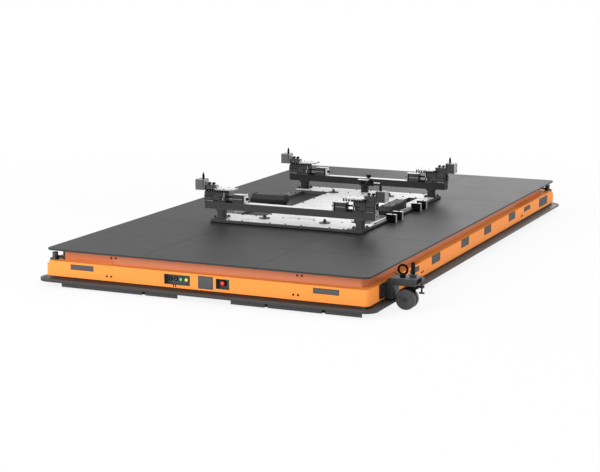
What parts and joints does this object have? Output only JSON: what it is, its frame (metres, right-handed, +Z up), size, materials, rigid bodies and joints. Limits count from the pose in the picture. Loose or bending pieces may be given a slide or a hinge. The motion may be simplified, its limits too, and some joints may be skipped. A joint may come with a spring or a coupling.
{
  "type": "autonomous mobile robot",
  "caption": "Low, wide assembly-line robot platform with orange skins, all-round bumper, corner laser scanners, a pin fixture on its deck and a plug-in rescue caster.",
  "frame": {"origin": "on the floor under the middle of the deck", "axes": "+X across the platform to the right of the operator panel's viewer, +Y along it away from the operator panel, +Z up"},
  "size_m": [3.548, 6.07, 0.834],
  "materials": {
    "deck": "matt anodised",
    "orange": "satin powder coat",
    "dark_paint": "satin powder coat",
    "bumper": "matt",
    "steel": "ground",
    "plate": "milled",
    "tube_paint": "satin",
    "dark_plastic": "matt",
    "battery": "matt",
    "tyre": "matt",
    "red": "gloss",
    "green": "gloss",
    "yellow": "gloss",
    "black_steel": "blackened"
  },
  "bodies": {
    "platform": {"battery_pack": "battery", "bumper_front": "bumper", "bumper_left": "bumper", "bumper_rear": "bumper", "bumper_right": "bumper", "centre_pedestal": "dark_paint", "corner_skin_front_left": "orange", "corner_skin_front_right": "orange", "corner_skin_rear_left": "orange", "corner_skin_rear_right": "orange", "cross_member_inner_front": "tube_paint", "cross_member_inner_rear": "tube_paint", "cross_member_middle": "tube_paint", "cross_member_outer_front": "tube_paint", "cross_member_outer_rear": "tube_paint", "crossbeam_front": "dark_paint", "crossbeam_rear": "dark_paint", "deck_plates": "deck", "duct_left": "dark_plastic", "duct_right": "dark_plastic", "edge_clamps": "dark_paint", "end_skin_front": "orange", "end_skin_rear": "orange", "fixture_base": "plate", "laser_scanner_front_left": "dark_plastic", "laser_scanner_rear_right": "dark_plastic", "lifting_eye": "black_steel", "longeron_left": "tube_paint", "longeron_right": "tube_paint", "operator_trays": "dark_plastic", "rescue_arm": "dark_paint", "side_skin_left": "orange", "side_skin_right": "orange", "skin_inserts": "dark_plastic", "slide_drives_front": "dark_paint", "slide_drives_rear": "dark_paint"},
    "steer_front": {"steer_unit_front": "dark_paint"},
    "drive_front": {"drive_wheel_front": "tyre"},
    "steer_rear": {"steer_unit_rear": "dark_paint"},
    "drive_rear": {"drive_wheel_rear": "tyre"},
    "swivel_front_left": {"caster_fork_front_left": "dark_paint"},
    "roller_front_left": {"caster_wheel_front_left": "tyre"},
    "swivel_front_right": {"caster_fork_front_right": "dark_paint"},
    "roller_front_right": {"caster_wheel_front_right": "tyre"},
    "swivel_rear_left": {"caster_fork_rear_left": "dark_paint"},
    "roller_rear_left": {"caster_wheel_rear_left": "tyre"},
    "swivel_rear_right": {"caster_fork_rear_right": "dark_paint"},
    "roller_rear_right": {"caster_wheel_rear_right": "tyre"},
    "carriage_front_left": {"pin_carriage_front_left": "dark_paint"},
    "carriage_front_right": {"pin_carriage_front_right": "dark_paint"},
    "carriage_rear_left": {"pin_carriage_rear_left": "dark_paint"},
    "carriage_rear_right": {"pin_carriage_rear_right": "dark_paint"},
    "start_button": {"start_button": "green"},
    "reset_button": {"reset_button": "yellow"},
    "stop_button": {"stop_button": "red"},
    "key_switch": {"key_switch": "steel"},
    "jack": {"jack_screw": "black_steel"},
    "rescue_head": {"rescue_fork": "dark_paint"},
    "rescue_rollers": {"rescue_wheels": "tyre"},
    "clamp_screw": {"clamp_screw": "black_steel"}
  },
  "joints": [
    {"name": "steer_front", "type": "hinge", "parent": "platform", "child": "steer_front", "pos_m": [0, -1.66, 0.276], "axis": [0, 0, 1], "range_deg": [-115, 115]},
    {"name": "drive_spin_front", "type": "hinge", "parent": "steer_front", "child": "drive_front", "pos_m": [0, -1.66, 0.115], "axis": [1, 0, 0], "continuous": true},
    {"name": "steer_rear", "type": "hinge", "parent": "platform", "child": "steer_rear", "pos_m": [0, 1.66, 0.276], "axis": [0, 0, 1], "range_deg": [-115, 115]},
    {"name": "drive_spin_rear", "type": "hinge", "parent": "steer_rear", "child": "drive_rear", "pos_m": [0, 1.66, 0.115], "axis": [1, 0, 0], "continuous": true},
    {"name": "caster_swivel_front_left", "type": "hinge", "parent": "platform", "child": "swivel_front_left", "pos_m": [-1.37, -2.5, 0.217], "axis": [0, 0, 1], "continuous": true},
    {"name": "caster_roll_front_left", "type": "hinge", "parent": "swivel_front_left", "child": "roller_front_left", "pos_m": [-1.37, -2.455, 0.075], "axis": [1, 0, 0], "continuous": true},
    {"name": "caster_swivel_front_right", "type": "hinge", "parent": "platform", "child": "swivel_front_right", "pos_m": [1.37, -2.5, 0.217], "axis": [0, 0, 1], "continuous": true},
    {"name": "caster_roll_front_right", "type": "hinge", "parent": "swivel_front_right", "child": "roller_front_right", "pos_m": [1.37, -2.455, 0.075], "axis": [1, 0, 0], "continuous": true},
    {"name": "caster_swivel_rear_left", "type": "hinge", "parent": "platform", "child": "swivel_rear_left", "pos_m": [-1.37, 2.5, 0.217], "axis": [0, 0, 1], "continuous": true},
    {"name": "caster_roll_rear_left", "type": "hinge", "parent": "swivel_rear_left", "child": "roller_rear_left", "pos_m": [-1.37, 2.545, 0.075], "axis": [1, 0, 0], "continuous": true},
    {"name": "caster_swivel_rear_right", "type": "hinge", "parent": "platform", "child": "swivel_rear_right", "pos_m": [1.37, 2.5, 0.217], "axis": [0, 0, 1], "continuous": true},
    {"name": "caster_roll_rear_right", "type": "hinge", "parent": "swivel_rear_right", "child": "roller_rear_right", "pos_m": [1.37, 2.545, 0.075], "axis": [1, 0, 0], "continuous": true},
    {"name": "pin_slide_front_left", "type": "slide", "parent": "platform", "child": "carriage_front_left", "axis": [-1, 0, 0], "range_m": [-0.06, 0]},
    {"name": "pin_slide_front_right", "type": "slide", "parent": "platform", "child": "carriage_front_right", "axis": [1, 0, 0], "range_m": [-0.06, 0]},
    {"name": "pin_slide_rear_left", "type": "slide", "parent": "platform", "child": "carriage_rear_left", "axis": [-1, 0, 0], "range_m": [-0.06, 0]},
    {"name": "pin_slide_rear_right", "type": "slide", "parent": "platform", "child": "carriage_rear_right", "axis": [1, 0, 0], "range_m": [-0.06, 0]},
    {"name": "start_button_press", "type": "slide", "parent": "platform", "child": "start_button", "axis": [0, 1, 0], "range_m": [0, 0.003], "stiffness_N_per_m": 500},
    {"name": "reset_button_press", "type": "slide", "parent": "platform", "child": "reset_button", "axis": [0, 1, 0], "range_m": [0, 0.003], "stiffness_N_per_m": 500},
    {"name": "stop_button_press", "type": "slide", "parent": "platform", "child": "stop_button", "axis": [0, 1, 0], "range_m": [0, 0.005], "stiffness_N_per_m": 900},
    {"name": "key_turn", "type": "hinge", "parent": "platform", "child": "key_switch", "pos_m": [-0.317, -2.913, 0.168], "axis": [0, 1, 0], "range_deg": [0, 90]},
    {"name": "jack_lower", "type": "slide", "parent": "platform", "child": "jack", "axis": [0, 0, -1], "range_m": [0, 0.06]},
    {"name": "rescue_swivel", "type": "hinge", "parent": "jack", "child": "rescue_head", "pos_m": [1.826, -2.5, 0.206], "axis": [0, 0, 1], "continuous": true},
    {"name": "rescue_roll", "type": "hinge", "parent": "rescue_head", "child": "rescue_rollers", "pos_m": [1.775, -2.5, 0.09], "axis": [0, 1, 0], "continuous": true},
    {"name": "clamp_turn", "type": "hinge", "parent": "platform", "child": "clamp_screw", "pos_m": [1.848, -2.334, 0.235], "axis": [0, 0, 1], "continuous": true}
  ]
}
